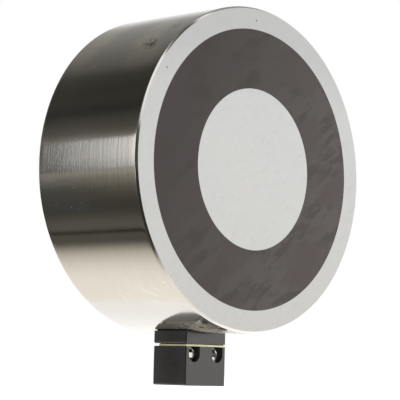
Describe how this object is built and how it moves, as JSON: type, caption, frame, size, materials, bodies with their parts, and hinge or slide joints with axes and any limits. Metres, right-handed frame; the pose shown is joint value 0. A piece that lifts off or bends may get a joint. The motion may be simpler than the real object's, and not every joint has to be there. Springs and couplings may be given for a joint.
{
  "type": "holding electromagnet",
  "caption": "Round steel pot electromagnet with a flat annular holding face and a small screw terminal block under the drum.",
  "frame": {"origin": "centre of the drum's flat back face, on the drum's axis and at the mouth of the threaded mounting hole", "axes": "+Y out of the back face along the drum's axis, -Y out of the holding face, -Z towards the terminal block, +X to the right when facing the holding face"},
  "size_m": [0.1, 0.043, 0.1162],
  "materials": {
    "pot_steel": "turned side polished, pole faces ground",
    "potting_resin": "cast resin, ground flat, faint smears",
    "bobbin_plastic": "moulded nylon",
    "copper_winding": "enamelled copper",
    "wrap_tape": "polyester tape",
    "lead_insulation": "insulated lead, bared end tinned",
    "sleeve_plastic": "white sleeving",
    "black_moulding": "satin black moulding",
    "insulating_board": "pale yellow laminated sheet",
    "plated_terminal": "nickel-plated brass",
    "zinc_screw": "bright zinc-plated",
    "washer_steel": "plated spring steel"
  },
  "bodies": {
    "root": {"magnet_body": "pot_steel", "coil_bobbin": "bobbin_plastic", "coil_winding": "copper_winding", "winding_wrap": "wrap_tape", "potting_ring": "potting_resin", "lead_wire_left": "lead_insulation", "lead_wire_right": "lead_insulation", "lead_sleeve_left": "sleeve_plastic", "lead_sleeve_right": "sleeve_plastic", "terminal_saddle": "black_moulding", "insulating_board": "insulating_board", "terminal_housing": "black_moulding", "terminal_tube_left": "plated_terminal", "terminal_tube_right": "plated_terminal", "wire_guard_left": "plated_terminal", "wire_guard_right": "plated_terminal", "clamp_screw_front_left": "zinc_screw", "clamp_screw_front_right": "zinc_screw", "clamp_screw_rear_left": "zinc_screw", "clamp_screw_rear_right": "zinc_screw", "fixing_screw": "zinc_screw", "spring_washer": "washer_steel"}
  },
  "joints": []
}
